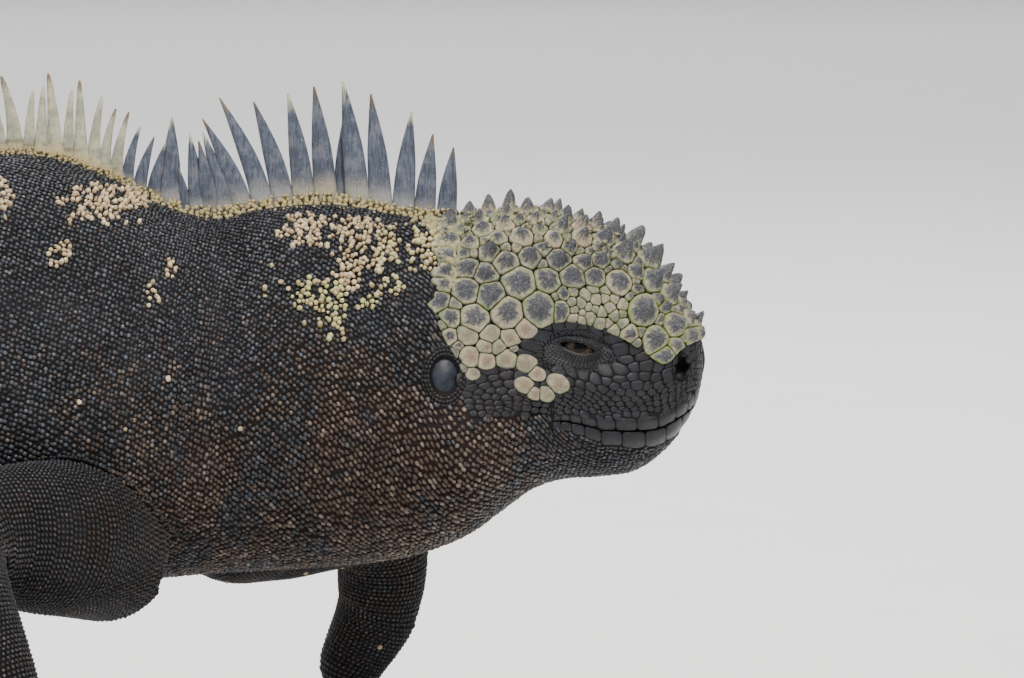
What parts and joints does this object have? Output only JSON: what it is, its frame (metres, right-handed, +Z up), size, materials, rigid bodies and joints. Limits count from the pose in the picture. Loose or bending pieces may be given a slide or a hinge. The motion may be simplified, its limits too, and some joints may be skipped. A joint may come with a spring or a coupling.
{
  "type": "marine iguana",
  "caption": "Life-size model of a male marine iguana with raised forebody, shielded crown and spined crest, resting on hands, belly, feet and tail.",
  "frame": {"origin": "centre of the bounding box of the whole animal, at the level of the floor that it rests on", "axes": "+X from the tail towards the snout, +Y to the animal's left, +Z up"},
  "size_m": [1.0119, 0.3784, 0.2013],
  "materials": {
    "skin": "fine dry scales, charcoal with rust on the throat and jaw and pale crusts of salt",
    "crown": "hard conical shields crusted with cream salt, green algae in the grooves, slate tips",
    "crest": "horny blades, slate blue-grey with brown and pale tips",
    "eye": "wet and glossy, brown iris with a black pupil",
    "ear_drum": "thin smooth membrane, slightly glossy",
    "claw": "worn dark horn"
  },
  "bodies": {
    "root": {"head": "skin", "lower_jaw": "skin", "eye_left": "eye", "eye_right": "eye", "ear_left": "ear_drum", "ear_right": "ear_drum", "neck": "skin", "chest": "skin", "belly": "skin", "pelvis": "skin", "tail_base": "skin", "tail_middle": "skin", "tail_rear": "skin", "tail_tip": "skin", "upper_arm_right": "skin", "forearm_right": "skin", "hand_right": "skin", "upper_arm_left": "skin", "forearm_left": "skin", "hand_left": "skin", "thigh_right": "skin", "shank_right": "skin", "foot_right": "skin", "thigh_left": "skin", "shank_left": "skin", "foot_left": "skin", "claw_hand_right_1": "claw", "claw_hand_right_2": "claw", "claw_hand_right_3": "claw", "claw_hand_right_4": "claw", "claw_hand_right_5": "claw", "claw_hand_left_1": "claw", "claw_hand_left_2": "claw", "claw_hand_left_3": "claw", "claw_hand_left_4": "claw", "claw_hand_left_5": "claw", "claw_foot_right_1": "claw", "claw_foot_right_2": "claw", "claw_foot_right_3": "claw", "claw_foot_right_4": "claw", "claw_foot_right_5": "claw", "claw_foot_left_1": "claw", "claw_foot_left_2": "claw", "claw_foot_left_3": "claw", "claw_foot_left_4": "claw", "claw_foot_left_5": "claw"}
  },
  "joints": []
}
